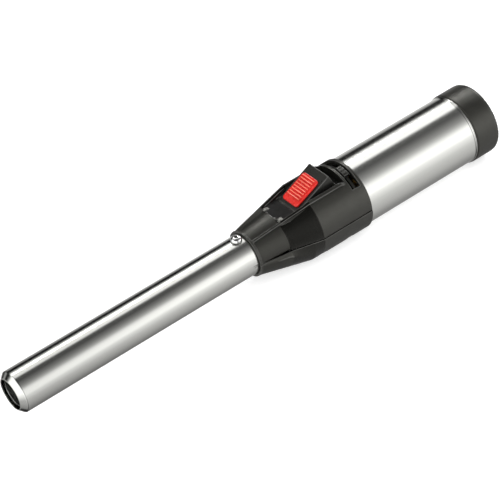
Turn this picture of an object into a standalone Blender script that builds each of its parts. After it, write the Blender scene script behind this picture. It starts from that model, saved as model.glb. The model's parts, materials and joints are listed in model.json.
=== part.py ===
"""A hand-held butane torch, lying on its belly with the trigger up.

The helpers below work in millimetres in the torch's own axes: X runs along the barrel's axis from the
nozzle's mouth to the end cap, Z points up towards the trigger, and the origin is the centre of the mouth.
The empty called torch_frame places them, so that the torch stands on Z = 0 with the middle of its length
at X = 0.
"""

import math

import bmesh
import bpy
from mathutils import Matrix, Vector

MM = 0.001
GAP = 0.3            # clearance between touching pieces
FAR = 60.0           # reach of a cutter that passes right through

# Driving sizes
LENGTH = 250.0
BARREL_R = 9.5
BODY_R = 16.7        # rear of the body
HANDLE_R = 16.0
CAP_R = 16.6         # also the height of the axis over the table
WALL = 0.5           # steel tubes

# Stations along the axis
BODY_FRONT = 119.6
ZONE_1 = 134.5       # the shallow front cone ends and the steep one starts
ZONE_2 = 149.5       # the steep cone ends and the cylinder starts
BODY_REAR = 176.0
HANDLE_END = 236.6
CAP_FRONT = 236.9

# Trigger bay and lever
BAY_FLOOR = 12.0
BAY_REAR = 169.0
BAY_HALF_WIDTHS = [(ZONE_1 + 0.2, 6.6), (146.0, 7.9), (BAY_REAR, 7.9)]   # the sides follow the ridges
FLOOR_THICKNESS = 1.2
LEVER_HALF_WIDTH = 6.5
PIVOT = (144.5, 7.8)             # x, z of the lever's hinge
LEVER_FRONT = (144.0, 11.6)
LEVER_TIP = (162.4, 20.8)
LEVER_HEEL = (165.8, 13.75)
LEVER_UNDERSIDE = 8.6
PAD_FRONT, PAD_LENGTH, PAD_WIDTH, PAD_HEIGHT = 1.6, 14.6, 10.0, 1.6
PAD_RIBS = 8

# Inside
PIEZO_X, PIEZO_LENGTH, PIEZO_HALF_WIDTH, PIEZO_TOP, PIEZO_BOTTOM = 157.5, 10.0, 4.0, 3.0, -14.2
SPRING_X = 149.5
LINK_Y = 5.4
WIRE_R, WIRE_ANGLE = 7.5, 150.0  # where the ignition wire runs, and its angle from the top
SHELL_SCREWS = [(150.5, -11.3), (150.5, 11.3), (165.3, -11.3), (165.3, 11.3)]
BARREL_SCREW_X, SCREW_HOLE_R = 116.3, 1.5
BUSH_FRONT, BUSH_FLANGE = 109.0, (136.0, 139.0)
WINDOW_FRONT, WINDOW_REAR = 170.2, 174.5
TAB_REST_ANGLE = 10.0            # the adjuster's tab from the top, towards -Y


for leftover in list(bpy.data.objects):
    bpy.data.objects.remove(leftover, do_unlink=True)


def new_collection(name):
    collection = bpy.data.collections.new(name)
    bpy.context.scene.collection.children.link(collection)
    return collection


TORCH = new_collection("butane_torch")
CUTTERS = new_collection("cutters")

torch_frame = bpy.data.objects.new("torch_frame", None)
torch_frame.location = Vector((-LENGTH / 2, 0, CAP_R)) * MM
TORCH.objects.link(torch_frame)


# ---------------------------------------------------------------- materials

def principled(name, color, roughness, metallic=0.0):
    material = bpy.data.materials.new(name)
    material.use_nodes = True
    shader = material.node_tree.nodes["Principled BSDF"]
    shader.inputs["Base Color"].default_value = (*color, 1)
    shader.inputs["Roughness"].default_value = roughness
    shader.inputs["Metallic"].default_value = metallic
    return material


STEEL = principled("brushed_steel", (0.62, 0.62, 0.61), 0.28, 1)
BRIGHT = principled("plated_screw", (0.75, 0.75, 0.74), 0.18, 1)
BRASS = principled("brass", (0.80, 0.58, 0.28), 0.3, 1)
COPPER = principled("copper", (0.80, 0.42, 0.28), 0.35, 1)
ZINC = principled("die_cast_zinc", (0.48, 0.48, 0.50), 0.45, 1)
BLACK = principled("black_plastic", (0.035, 0.034, 0.033), 0.5)
LEVER_BLACK = principled("lever_plastic", (0.02, 0.02, 0.02), 0.35)
RED = principled("red_plastic", (0.75, 0.03, 0.01), 0.4)
WHITE = principled("ceramic", (0.85, 0.83, 0.78), 0.4)
RUBBER = principled("seal_rubber", (0.02, 0.02, 0.02), 0.8)
TANK = principled("tank_plastic", (0.75, 0.76, 0.72), 0.35)
WIRE_SLEEVE = principled("wire_sleeve", (0.6, 0.06, 0.04), 0.5)


# ---------------------------------------------------------------- builders

def place(obj, collection, material=None):
    collection.objects.link(obj)
    obj.parent = torch_frame
    if material:
        obj.data.materials.append(material)
    if collection is CUTTERS:
        obj.hide_render = True
        obj.display_type = "WIRE"
    return obj


def mesh_object(name, bm, collection, material=None):
    bmesh.ops.recalc_face_normals(bm, faces=bm.faces)
    mesh = bpy.data.meshes.new(name)
    bm.to_mesh(mesh)
    bm.free()
    return place(bpy.data.objects.new(name, mesh), collection, material)


def turned(name, profile, steps, collection=TORCH, material=None, closed=True):
    """A body of revolution about the torch's axis. profile lists (x, r), front to rear down the outer
    side and then, if closed, rear to front along the bore."""
    mesh = bpy.data.meshes.new(name)
    points = [(r * MM, 0, x * MM) for x, r in reversed(profile)]
    edges = [(i, i + 1) for i in range(len(points) - 1)]
    if closed:
        edges.append((len(points) - 1, 0))
    mesh.from_pydata(points, edges, [])
    obj = place(bpy.data.objects.new(name, mesh), collection, material)
    obj.rotation_euler = (0, math.radians(90), 0)
    screw = obj.modifiers.new("turn", "SCREW")
    screw.steps = screw.render_steps = steps
    screw.use_merge_vertices = True
    screw.merge_threshold = 0.00001
    return obj


def ring_profile(x, r, minor, sides=6):
    """The round section of an O-ring."""
    angles = [2 * math.pi * k / sides for k in range(sides)]
    return [(x - minor * math.cos(a), r + minor * math.sin(a)) for a in angles]


def box(name, low, high, collection=CUTTERS, material=None):
    bm = bmesh.new()
    bmesh.ops.create_cube(bm, size=1)
    low, high = Vector(low) * MM, Vector(high) * MM
    bmesh.ops.transform(bm, verts=bm.verts, matrix=Matrix.Diagonal((high - low).to_4d()))
    bmesh.ops.translate(bm, verts=bm.verts, vec=(low + high) / 2)
    return mesh_object(name, bm, collection, material)


def cylinder(name, start, end, radius, sides=16, collection=CUTTERS, material=None):
    start, end = Vector(start) * MM, Vector(end) * MM
    bm = bmesh.new()
    bmesh.ops.create_cone(bm, cap_ends=True, segments=sides, radius1=radius * MM, radius2=radius * MM,
                          depth=(end - start).length)
    turn = (end - start).to_track_quat("Z", "Y").to_matrix().to_4x4()
    bmesh.ops.transform(bm, verts=bm.verts, matrix=Matrix.Translation((start + end) / 2) @ turn)
    return mesh_object(name, bm, collection, material)


def prism(name, outline, low, high, axis="Y", collection=CUTTERS, material=None):
    """A flat outline, filled and extruded along an axis. Its points are the other two coordinates in order:
    (y, z) for X, (x, z) for Y and (x, y) for Z."""
    bm = bmesh.new()
    place_point = {"X": lambda a, b: (low, a, b), "Y": lambda a, b: (a, low, b),
                   "Z": lambda a, b: (a, b, low)}
    verts = [bm.verts.new(Vector(place_point[axis](a, b)) * MM) for a, b in outline]
    face = bm.faces.new(verts)
    step = Vector([(high - low) * MM * (axis == name) for name in "XYZ"])
    top = bmesh.ops.extrude_face_region(bm, geom=[face])["geom"]
    bmesh.ops.translate(bm, verts=[v for v in top if isinstance(v, bmesh.types.BMVert)], vec=step)
    return mesh_object(name, bm, collection, material)


def wire(name, points, radius, material):
    """A round wire or tube along the given points."""
    data = bpy.data.curves.new(name, "CURVE")
    data.dimensions = "3D"
    data.bevel_depth = radius * MM
    data.bevel_resolution = 2
    data.use_fill_caps = True
    spline = data.splines.new("POLY")
    spline.points.add(len(points) - 1)
    for slot, point in zip(spline.points, points):
        slot.co = (Vector(point) * MM).to_4d()
    return place(bpy.data.objects.new(name, data), TORCH, material)


def smooth_route(corners, per_leg=4):
    """Points on a curve that passes the given corners in gentle bends (uniform Catmull-Rom)."""
    corners = [Vector(c) for c in corners]
    ends = [2 * corners[0] - corners[1], *corners, 2 * corners[-1] - corners[-2]]
    points = []
    for before, a, b, after in zip(ends, ends[1:], ends[2:], ends[3:]):
        for k in range(per_leg):
            t = k / per_leg
            points.append(0.5 * (2 * a + (b - before) * t + (2 * before - 5 * a + 4 * b - after) * t**2
                                 + (3 * a - before - 3 * b + after) * t**3))
    return [*points, corners[-1]]


def helix(start, end, radius, turns, per_turn=6):
    """The points of a coil spring from start to end."""
    start, end = Vector(start), Vector(end)
    along = (end - start).normalized()
    side = along.orthogonal().normalized()
    across = along.cross(side)
    points = []
    for k in range(turns * per_turn + 1):
        angle = 2 * math.pi * k / per_turn
        points.append(start.lerp(end, k / (turns * per_turn))
                      + radius * (side * math.cos(angle) + across * math.sin(angle)))
    return points


def boolean(obj, operation, *others):
    for other in others:
        modifier = obj.modifiers.new(f"{operation.lower()}_{other.name}", "BOOLEAN")
        modifier.operation = operation
        modifier.object = other


def cut(obj, *others):
    boolean(obj, "DIFFERENCE", *others)


def join(obj, *others):
    boolean(obj, "UNION", *others)


def along(stations, x):
    """The value at x on a line through the (x, value) stations."""
    for (x0, v0), (x1, v1) in zip(stations, stations[1:]):
        if x <= x1:
            return v0 + (v1 - v0) * max(0.0, x - x0) / (x1 - x0)
    return stations[-1][1]


def polar(radius, degrees):
    """(y, z) at an angle from the top, positive towards +Y."""
    angle = math.radians(degrees)
    return radius * math.sin(angle), radius * math.cos(angle)


# ---------------------------------------------------------------- body shells

PANEL = [(BODY_FRONT + 1.3, 10.5), (ZONE_1, 12.3), (ZONE_2, BODY_R), (BODY_REAR, BODY_R)]
RIDGE = [(BODY_FRONT + 1.3, 11.3), (148.9, 17.7), (166.5, 17.7), (168.5, BODY_R), (BODY_REAR, BODY_R)]
KEEL = [(BODY_FRONT + 1.3, 10.9), (145.0, 16.7), (152.0, 16.9), (BODY_REAR, 16.9)]
KEEL_EDGE = [(133.0, 97.0), (146.0, 120.0)]     # angle from the top where the keel's flank ends
KEEL_STEP = 0.25                                # how far the lower shell stands proud at the parting line
LIP_R = 10.9
RIDGE_ANGLE = 30.0
RIDGE_HALF, RIDGE_FOOT = 0.55, 0.9              # half widths at the ridge's crown and foot
BELLY_HALF_WIDTH = 6.0
STATIONS = [BODY_FRONT + 1.3, 122.5, 127.8, ZONE_1, 137.5, 141.5, 145.5, ZONE_2, 152.0, 160.0, 166.5,
            168.5, BODY_REAR]


def half_section(x):
    """(y, z) points of one half of the body's outline at x, from the top round to the bottom."""
    panel, ridge, keel = along(PANEL, x), along(RIDGE, x), along(KEEL, x)
    crown, foot = math.degrees(RIDGE_HALF / ridge), math.degrees(RIDGE_FOOT / panel)
    points = [polar(panel, 0), polar(panel, 9), polar(panel, 18)]
    points += [polar(panel, RIDGE_ANGLE - foot), polar(ridge, RIDGE_ANGLE - crown),
               polar(ridge, RIDGE_ANGLE + crown), polar(panel, RIDGE_ANGLE + foot)]
    points += [polar(panel, angle) for angle in (42, 54, 66, 78, 90)]
    edge = along(KEEL_EDGE, x)
    points += [polar(panel + KEEL_STEP, 91.5), polar(keel, edge)]
    points += [polar(keel, edge + (150 - edge) * k / 4) for k in (1, 2, 3, 4)]
    flatness = along([(ZONE_1, 0.0), (146.0, 1.0)], x)
    for angle, share in ((160, 1.0), (170, 0.5), (180, 0.0)):
        round_y, round_z = polar(keel, angle)
        points.append((round_y + (share * BELLY_HALF_WIDTH - round_y) * flatness,
                       round_z + (-CAP_R - round_z) * flatness))
    return points


def mirrored(half):
    return half + [(-y, z) for y, z in reversed(half[1:-1])]


def body_blank(name):
    """The body's whole outer shape as one closed solid."""
    lip_angles = [math.degrees(math.atan2(y, z)) for y, z in half_section(STATIONS[0])]
    lip = [polar(LIP_R, angle) for angle in lip_angles]
    sections = [(BODY_FRONT, lip), (BODY_FRONT + 1.0, lip)]
    sections += [(x, half_section(x)) for x in STATIONS]
    bm = bmesh.new()
    rings = [[bm.verts.new(Vector((x, y, z)) * MM) for y, z in mirrored(half)] for x, half in sections]
    for front, rear in zip(rings, rings[1:]):
        for k in range(len(front)):
            after = (k + 1) % len(front)
            bm.faces.new((front[k], front[after], rear[after], rear[k]))
    bm.faces.new(rings[0])
    bm.faces.new(rings[-1])
    return mesh_object(name, bm, TORCH, BLACK)


SPIGOT_R, SPIGOT_BORE = HANDLE_R - WALL - GAP - 0.2, 13.6
SPIGOT_ROOT, SPIGOT_END = 174.8, 183.0
CAVITY_R = 15.0


def cavity(name, *kept):
    """The hollow inside the body, less the bosses that are left standing in it."""
    profile = [(118.0, BARREL_R + GAP), (BUSH_FLANGE[0] - GAP, BARREL_R + GAP), (BUSH_FLANGE[0] - GAP, 10.8),
               (BUSH_FLANGE[1] + GAP, 12.2), (ZONE_2, CAVITY_R), (SPIGOT_ROOT, CAVITY_R),
               (SPIGOT_ROOT, SPIGOT_BORE), (SPIGOT_END + 5, SPIGOT_BORE), (SPIGOT_END + 5, 0)]
    hollow = turned(name, [(118.0, 0), *profile], 40, CUTTERS, closed=False)
    cut(hollow, *kept)
    return hollow


def pillar(name, x, y, radius, low, high):
    return cylinder(name, (x, y, low), (x, y, high), radius, 20)


def spigot(name):
    """The neck that the handle tube slides over, overlapping the body's rear face so that they join."""
    return turned(name, [(BODY_REAR - 0.6, SPIGOT_R), (SPIGOT_END, SPIGOT_R), (SPIGOT_END, SPIGOT_BORE),
                         (BODY_REAR - 0.6, SPIGOT_BORE)], 40, CUTTERS)


def upper_shell():
    bosses = [pillar(f"upper_boss_{k}", x, y, 2.4, 0, 20) for k, (x, y) in enumerate(SHELL_SCREWS)]
    pin_cheeks = [box(f"pin_cheek_{side}", (141.9, side * 8.5 - 1.3, 5.2), (147.2, side * 8.5 + 1.3, 20))
                  for side in (-1, 1)]
    bay_floor = box("bay_floor_block", (132.0, -9.4, BAY_FLOOR - FLOOR_THICKNESS), (BAY_REAR + 0.9, 9.4, 20))
    shell = body_blank("upper_shell")
    join(shell, spigot("upper_spigot"))
    cut(shell, cavity("upper_cavity", *bosses, *pin_cheeks, bay_floor))
    cut(shell, prism("window", [(0, 0), (FAR, FAR), (-FAR, FAR)], WINDOW_FRONT, WINDOW_REAR, "X"))
    cut(shell, box("below_parting", (100, -FAR, -FAR), (200, FAR, GAP / 2)))
    cut(shell, box("lever_slot", (143.6, -LEVER_HALF_WIDTH - GAP, 2.0), (167.3, LEVER_HALF_WIDTH + GAP, FAR)))
    bay_plan = BAY_HALF_WIDTHS + [(x, -y) for x, y in reversed(BAY_HALF_WIDTHS)]
    cut(shell, prism("bay", bay_plan, BAY_FLOOR, FAR, "Z"))
    cut(shell, cylinder("pin_hole", (PIVOT[0], -10.4, PIVOT[1]), (PIVOT[0], 10.4, PIVOT[1]), 1.4))
    for k, (x, y) in enumerate(SHELL_SCREWS):
        cut(shell, pillar(f"upper_screw_hole_{k}", x, y, 1.4, -1, 8.0))
    return shell


def lower_shell():
    bosses = [pillar(f"lower_boss_{k}", x, y, 3.4, -20, 0) for k, (x, y) in enumerate(SHELL_SCREWS)]
    post = box("spring_post", (SPRING_X - 2, -2.4, -20), (SPRING_X + 2, 2.4, 0))
    shell = body_blank("lower_shell")
    join(shell, spigot("lower_spigot"))
    cut(shell, cavity("lower_cavity", *bosses, post))
    cut(shell, box("above_parting", (100, -FAR, -GAP / 2), (200, FAR, FAR)))
    for k, (x, y) in enumerate(SHELL_SCREWS):
        cut(shell, pillar(f"lower_screw_hole_{k}", x, y, 1.4, -20, 1))
        cut(shell, pillar(f"screw_counterbore_{k}", x, y, 2.7, -20, -9.0))
    return shell


def shell_screws():
    """Pan-head screws, driven from below."""
    for k, (x, y) in enumerate(SHELL_SCREWS):
        screw = cylinder(f"shell_screw_{k + 1}", (x, y, -9.6), (x, y, 7.0), 1.1, 12, TORCH, BRIGHT)
        join(screw, cylinder(f"shell_screw_head_{k}", (x, y, -10.8), (x, y, -9.3), 2.3, 20))


# ---------------------------------------------------------------- barrel and burner

def barrel():
    rear, mouth_r, mouth_bore = BUSH_FLANGE[0] - GAP, 7.2, 6.8
    nose = BARREL_R - mouth_r        # the tube is spun in at 45 degrees
    tube = turned("barrel_tube", [(0, mouth_r), (nose, BARREL_R), (rear, BARREL_R), (rear, BARREL_R - WALL),
                                  (nose + 0.2, BARREL_R - WALL), (0.4, mouth_bore), (0, mouth_bore)], 40,
                  material=STEEL)
    cut(tube, pillar("barrel_screw_holes", BARREL_SCREW_X, 0, SCREW_HOLE_R, -FAR, FAR))
    bush()
    for name, side in (("barrel_screw_top", 1), ("barrel_screw_bottom", -1)):
        barrel_screw(name, side)


def bush():
    """A cup in the barrel's rear end, with a web across it that holds the gas jet."""
    front, flange, flange_rear = BUSH_FRONT, *BUSH_FLANGE
    bush_r, bore_r, flange_r = BARREL_R - WALL - GAP, 6.0, 10.5
    web_front, web_rear, web_hole_r = 120.0, 124.0, 2.9
    body = turned("barrel_bush", [(front, bush_r), (flange, bush_r), (flange, flange_r),
                                  (flange_rear, flange_r), (flange_rear, bore_r), (web_rear, bore_r),
                                  (web_rear, web_hole_r), (web_front, web_hole_r), (web_front, bore_r),
                                  (front, bore_r)], 24, material=ZINC)
    cut(body, pillar("bush_screw_holes", BARREL_SCREW_X, 0, SCREW_HOLE_R, -FAR, FAR))
    y, z = polar(WIRE_R, WIRE_ANGLE)
    cut(body, cylinder("bush_wire_hole", (front - 1, y, z), (flange_rear + 1, y, z), 0.8, 8))
    air_holes, air_ring_r = 4, 4.45
    for k in range(air_holes):
        y, z = polar(air_ring_r, (k + 0.5) * 360 / air_holes)
        cut(body, cylinder(f"web_air_hole_{k}", (web_front - 2, y, z), (web_rear + 2, y, z), 0.9, 8))


def barrel_screw(name, side):
    """A cross-head screw through the barrel into the bush; side is +1 on top and -1 below."""
    base = BARREL_R + GAP
    screw = turned(name, [(0, 0), (0, 2.4), (0.7, 2.5), (1.4, 2.1), (1.8, 1.3), (1.9, 0)], 24,
                   material=BRIGHT, closed=False)
    screw.rotation_euler = (0, 0 if side > 0 else math.radians(180), 0)
    screw.location = Vector((BARREL_SCREW_X, 0, side * base)) * MM
    wide, narrow = 1.45, 0.33
    arm = [(wide, -narrow), (wide, narrow), (narrow, narrow)]
    quarter_turns = [(1, 0), (0, 1), (-1, 0), (0, -1)]
    cross = [(a * c - b * s, a * s + b * c) for c, s in quarter_turns for a, b in arm]
    recess = prism(f"{name}_cross", cross, 0, 3, "X")
    recess.rotation_euler = (0, -side * math.radians(90), math.radians(20))
    recess.location = Vector((BARREL_SCREW_X, 0, side * (base + 1.05))) * MM
    cut(screw, recess)
    join(screw, cylinder(f"{name}_shank", (BARREL_SCREW_X, 0, side * 6.2),
                         (BARREL_SCREW_X, 0, side * (base + 0.4)), 1.2, 12))


def burner():
    rear = 72.0
    tube_r, tube_bore = 6.2, 5.8
    tube = turned("burner_tube", [(1.4, tube_r), (rear, tube_r), (rear, tube_bore), (1.4, tube_bore)], 32,
                  material=STEEL)
    spark_y, spark_z = polar(8, WIRE_ANGLE)
    cut(tube, cylinder("spark_hole", (7.5, spark_y * 0.5, spark_z * 0.5), (7.5, spark_y, spark_z), 1.2, 12))
    for name, x in (("burner_spacer_front", 24.0), ("burner_spacer_rear", 66.0)):
        clip = turned(name, [(x, 8.7), (x + 1.5, 8.7), (x + 1.5, tube_r + GAP), (x, tube_r + GAP)], 24,
                      material=STEEL)
        slot = box(f"{name}_slot", (x - 1, -1.5, 5), (x + 3, 1.5, 10))
        slot.rotation_euler = (-math.radians(WIRE_ANGLE), 0, 0)
        cut(clip, slot)
    holder_r, flame_holes, flame_ring_r = tube_bore - GAP, 8, 3.5
    holder = turned("flame_holder", [(13.0, 0), (13.0, holder_r), (16.0, holder_r), (16.0, 0)], 24,
                    material=ZINC, closed=False)
    cut(holder, cylinder("flame_hole_centre", (10, 0, 0), (20, 0, 0), 1.1, 8))
    for k in range(flame_holes):
        y, z = polar(flame_ring_r, k * 360 / flame_holes)
        cut(holder, cylinder(f"flame_hole_{k}", (10, y, z), (20, y, z), 0.8, 8))
    turned("mixing_tube", [(66.0, 5.35), (98.0, 2.9), (107.5, 4.9), (107.5, 4.2), (98.0, 1.9), (66.0, 4.6)],
           20, material=BRASS)
    turned("gas_jet", [(110.5, 1.2), (113.0, 3.4), (119.6, 3.4), (119.6, 2.6), (127.0, 2.6), (127.0, 1.3),
                       (114.0, 1.3), (112.0, 0.4), (110.5, 0.4)], 16, material=BRASS)


def spark_line():
    """Electrode, its ceramic insulator, and the wire back to the piezo unit."""
    def at(x, radius):
        return (x, *polar(radius, WIRE_ANGLE))

    wire("electrode", [at(11.0, WIRE_R), at(8.3, WIRE_R), at(7.6, WIRE_R - 0.6), at(7.5, WIRE_R - 1.2),
                       at(7.5, 4.9)], 0.4, STEEL)
    y, z = polar(WIRE_R, WIRE_ANGLE)
    cylinder("electrode_insulator", (11.3, y, z), (22.0, y, z), 0.85, 16, TORCH, WHITE)
    piezo_front = PIEZO_X - PIEZO_LENGTH / 2
    route = [at(22.4, WIRE_R), at(60, WIRE_R), at(110, WIRE_R), at(142, WIRE_R), (146.5, 4.0, -8.0),
             (149.5, 3.7, -9.8), (piezo_front - GAP - 0.1, 3.3, -10.0)]
    wire("ignition_wire", smooth_route(route), 0.45, WIRE_SLEEVE)


# ---------------------------------------------------------------- trigger and igniter

def lever_top(distance, height=0.0):
    """(x, z) of a point on the lever's sloping top, measured from its front edge."""
    slope = Vector(LEVER_TIP) - Vector(LEVER_FRONT)
    slope.normalize()
    point = Vector(LEVER_FRONT) + slope * distance + Vector((-slope.y, slope.x)) * height
    return tuple(point)


def trigger_lever():
    px, pz = PIVOT
    outline = [LEVER_FRONT, LEVER_TIP, LEVER_HEEL, (166.2, 9.6), (164.6, LEVER_UNDERSIDE),
               (148.0, LEVER_UNDERSIDE), (146.4, 6.9), (145.4, 6.0), (143.6, 6.0), (142.6, 6.9), (142.6, 8.7),
               (143.9, 9.8)]
    lever = prism("trigger_lever", outline, -LEVER_HALF_WIDTH, LEVER_HALF_WIDTH, "Y", TORCH, LEVER_BLACK)
    pocket = [(149.5, 5.0), (149.5, 11.6), (160.9, 17.7), (162.9, 13.2), (163.6, 5.0)]
    for side in (-1, 1):
        low, high = sorted((side * 1.2, side * 5.0))
        cut(lever, prism(f"lever_pocket_{side}", pocket, low, high))
    cut(lever, cylinder("lever_pin_hole", (px, -10, pz), (px, 10, pz), 1.35))
    cut(lever, box("lever_spring_seat", (SPRING_X - 2.9, -3.2, 5),
                   (SPRING_X + 2.9, 3.2, LEVER_UNDERSIDE + 0.4)))
    join(lever, box("lever_finger", (px - 1.1, LINK_Y - 0.8, -0.8), (px + 1.1, LINK_Y + 0.8, 6.3)))
    cylinder("trigger_pin", (px, -10.0, pz), (px, 10.0, pz), 1.05, 16, TORCH, STEEL)


def trigger_pad():
    """A ribbed pad on the lever's slope, as a side outline extruded across it."""
    front_margin, rear_margin, valley = 2.0, 1.0, PAD_HEIGHT - 0.4
    pitch = (PAD_LENGTH - front_margin - rear_margin) / PAD_RIBS
    rib = [(0, valley), (0.25 * pitch, PAD_HEIGHT), (0.55 * pitch, PAD_HEIGHT), (0.8 * pitch, valley)]
    outline = [lever_top(PAD_FRONT, GAP), lever_top(PAD_FRONT, valley)]
    for k in range(PAD_RIBS):
        start = PAD_FRONT + front_margin + k * pitch
        outline += [lever_top(start + step, height) for step, height in rib]
    end = PAD_FRONT + PAD_LENGTH
    outline += [lever_top(end, valley), lever_top(end, GAP)]
    prism("trigger_pad", outline, -PAD_WIDTH / 2, PAD_WIDTH / 2, "Y", TORCH, RED)


def igniter():
    half = PIEZO_LENGTH / 2
    body = box("piezo_body", (PIEZO_X - half, -PIEZO_HALF_WIDTH, PIEZO_BOTTOM),
               (PIEZO_X + half, PIEZO_HALF_WIDTH, PIEZO_TOP), TORCH, BLACK)
    cut(body, pillar("piezo_bore", PIEZO_X, 0, 2.9, -5.5, 10))
    top, foot, crown_r = LEVER_UNDERSIDE - GAP, -1.0, 2.6
    crown = [(top - crown_r * (1 - math.cos(a)), crown_r * math.sin(a))
             for a in (0, math.radians(30), math.radians(60), math.radians(90))]
    plunger = turned("piezo_plunger", [(foot, 0), (foot, crown_r), *reversed(crown)], 20, material=WHITE,
                     closed=False)
    plunger.rotation_euler = (0, 0, 0)
    plunger.location = Vector((PIEZO_X, 0, 0)) * MM
    coil_r, turns = 2.0, 5
    low, high = (SPRING_X, 0, GAP + 0.25), (SPRING_X, 0, LEVER_UNDERSIDE - 0.3)
    wire("trigger_spring", helix(low, high, coil_r, turns), 0.3, STEEL)


# ---------------------------------------------------------------- gas path

YOKE = (165.7, 167.1)            # the link's fork, along the stem
REGULATOR = (170.6, 174.9)
ADJUSTER = (171.2, 173.8)
VALVE = (175.2, 196.0)
TANK_ENDS = (184.0, 228.5)
TANK_R = HANDLE_R - WALL - GAP - 0.2


def valve_train():
    px = PIVOT[0]
    link = box("valve_link", (px - 2.6, LINK_Y - 1.9, -1.0), (px + 2.6, LINK_Y + 1.9, 1.0), TORCH, STEEL)
    join(link, box("link_rod", (px + 2.5, LINK_Y - 0.8, -0.8), (YOKE[1], LINK_Y + 0.8, 0.8)))
    join(link, box("link_yoke", (YOKE[0], -2.4, -2.6), (YOKE[1], LINK_Y + 0.8, 2.6)))
    cut(link, box("link_eye", (px - 1.6, LINK_Y - 1.1, -3), (px + 1.6, LINK_Y + 1.1, 3)))
    cut(link, box("yoke_slot", (YOKE[0] - 1, -5, -1.5), (YOKE[1] + 1, 1.6, 1.5)))
    neck_r, head_r = 1.2, 2.3
    head, collar = YOKE[0] - GAP, YOKE[1] + GAP
    thickness, stem_rear = 0.8, 191.6
    turned("valve_stem", [(head - thickness, 0), (head - thickness, head_r), (head, head_r), (head, neck_r),
                          (collar, neck_r), (collar, head_r), (collar + thickness, head_r),
                          (collar + thickness, neck_r), (stem_rear, neck_r), (stem_rear, 0)], 16,
           material=BRASS, closed=False)
    turned("valve_regulator", [(REGULATOR[0], 3.4), (REGULATOR[1], 3.4), (REGULATOR[1], 2.5),
                               (178.0, 2.5), (178.0, 1.6), (REGULATOR[0], 1.6)], 6, material=BRASS)
    front, rear = ADJUSTER
    hub = turned("flame_adjuster", [(front, 6.2), (rear, 6.2), (rear, 4.0), (front, 4.0)], 6,
                 material=LEVER_BLACK)
    arm = prism("adjuster_arm", [(-1.8, 4.6), (1.8, 4.6), (1.8, 13.0), (-1.8, 13.0)], front, rear, "X")
    tab_angles = (-10.5, -3.5, 3.5, 10.5)
    tab = [polar(16.4, a) for a in tab_angles] + [polar(12.0, a) for a in reversed(tab_angles)]
    tab = prism("adjuster_tab", tab, front, rear, "X")
    for piece in (arm, tab):
        piece.rotation_euler = (math.radians(TAB_REST_ANGLE), 0, 0)
    join(hub, arm, tab)
    body = turned("valve_body", [(VALVE[0], 4.2), (181.2, 4.2), (181.2, 6.4), (183.7, 6.4), (183.7, 4.2),
                                 (VALVE[1], 4.2), (VALVE[1], 0.6), (192.0, 0.6), (192.0, 1.6), (178.6, 1.6),
                                 (178.6, 2.9), (VALVE[0], 2.9)], 20, material=BRASS)
    cut(body, pillar("valve_outlet", 179.7, 0, 0.7, -8, -1.4))
    side = -6.0
    route = [(127.4, 0, 0), (134, 0, 0), (140, -0.8, -1.2), (146, -4.4, -5.6), (151, side, -8),
             (158, side, -8.6), (166, side, -8.6), (173, side, -8.8), (178, -3.4, -9.2), (179.6, -0.7, -7.4),
             (179.7, 0, -4.6)]
    wire("gas_tube", smooth_route(route, 3), 0.9, COPPER)
    turned("valve_seal", ring_profile(184.75, 5.35, 0.45), 20, material=RUBBER)


def tank():
    front, rear = TANK_ENDS
    turned("fuel_tank", [(front, TANK_R), (rear, TANK_R), (rear, 5.2), (rear - 1.3, 5.2), (rear - 1.3, 3.2),
                         (rear - 2.5, 3.2), (rear - 2.5, TANK_R - 1.3), (front + 2.8, TANK_R - 1.3),
                         (front + 2.8, 4.5), (front + 1.5, 4.5), (front + 1.5, 6.2), (front, 6.2)], 32,
           material=TANK)
    flange = rear + GAP
    turned("refill_valve_body", [(222.0, 2.9), (flange, 2.9), (flange, 5.8), (230.8, 5.8), (230.8, 2.5),
                                 (244.5, 2.5), (244.5, 1.0), (242.0, 1.0), (242.0, 1.8), (224.0, 1.8),
                                 (224.0, 0.5), (222.0, 0.5)], 16, material=BRASS)
    turned("refill_seal", ring_profile(rear - 0.6, 4.2, 0.45), 20, material=RUBBER)
    turned("refill_stem", [(236.0, 0), (236.0, 1.5), (241.5, 1.5), (241.5, 0.6), (245.8, 0.6), (245.8, 0)],
           16, material=BRASS, closed=False)
    wire("refill_spring", helix((224.5, 0, 0), (235.4, 0, 0), 1.2, 5), 0.2, STEEL)


def handle_and_cap():
    lip = HANDLE_END - 0.7
    turned("handle_tube", [(BODY_REAR + GAP, HANDLE_R), (lip, HANDLE_R), (lip + 0.2, HANDLE_R + 0.4),
                           (HANDLE_END, HANDLE_R + 0.4), (HANDLE_END, HANDLE_R - WALL),
                           (BODY_REAR + GAP, HANDLE_R - WALL)], 40, material=STEEL)
    round_r, centre_x, centre_r = 2.2, LENGTH - 2.2, CAP_R - 2.2
    corner = [(centre_x + round_r * math.sin(a), centre_r + round_r * math.cos(a))
              for a in (math.radians(22.5 * k) for k in range(5))]
    plug_r = HANDLE_R - WALL - GAP - 0.2
    plug_front, plug_bore, port_r, floor = 229.5, 13.6, 5.0, 247.0
    turned("end_cap", [(plug_front, plug_r), (CAP_FRONT, plug_r), (CAP_FRONT, CAP_R - 0.3),
                       (CAP_FRONT + 0.3, CAP_R), *corner, (LENGTH, port_r), (floor, port_r), (floor, 12.5),
                       (243.0, plug_bore), (plug_front, plug_bore)], 40, material=BLACK)


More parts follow.
